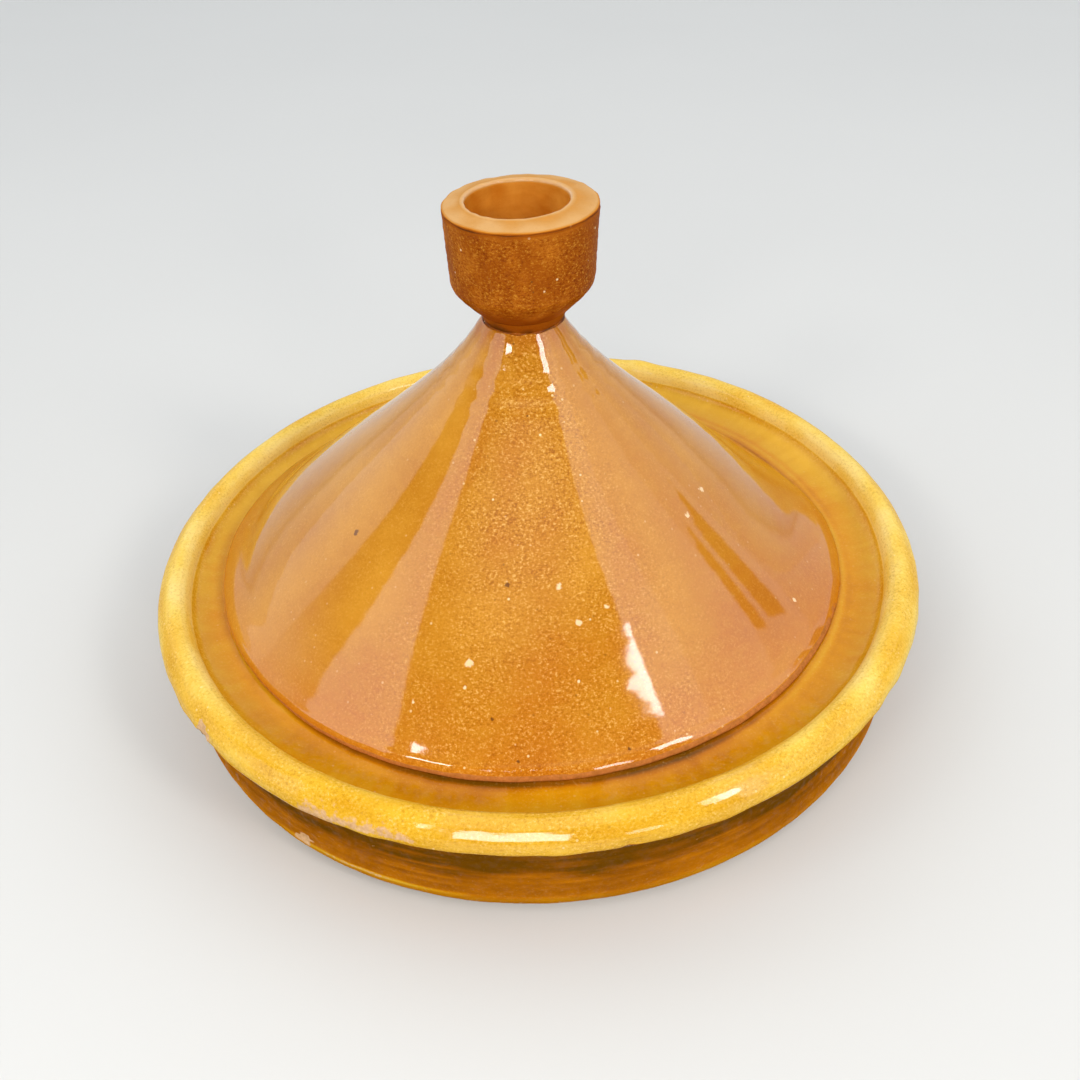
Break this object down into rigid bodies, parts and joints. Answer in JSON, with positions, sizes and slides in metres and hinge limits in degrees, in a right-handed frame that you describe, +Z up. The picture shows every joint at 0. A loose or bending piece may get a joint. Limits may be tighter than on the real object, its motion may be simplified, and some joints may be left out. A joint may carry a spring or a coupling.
{
  "type": "tagine pot",
  "caption": "Small glazed earthenware tagine: a shallow round dish with a rolled rim and inner ledge, and a trumpet-shaped cone lid with a cup-shaped knob that lifts off.",
  "frame": {"origin": "middle of the dish's flat base, on the surface it stands on", "axes": "+Z up along the turning axis of dish and lid, +Y away from the side that the picture shows"},
  "size_m": [0.2, 0.2, 0.1241],
  "materials": {
    "dish_glaze": "glossy honey glaze over terracotta, pale yellow where it breaks over the rim",
    "lid_glaze": "glossy amber glaze with fine gold and dark speckle",
    "slip": "dark fired slip under pooled glaze",
    "knob_glaze": "glossy amber glaze with fine speckle, paler on the flat top"
  },
  "bodies": {
    "dish": {"dish": "dish_glaze"},
    "lid": {"lid_cone": "lid_glaze", "knob_slip_joint": "slip", "knob_cup": "knob_glaze"}
  },
  "joints": [
    {"name": "lid_lift", "type": "slide", "parent": "dish", "child": "lid", "axis": [0, 0, 1], "range_m": [0, 0.12]}
  ]
}
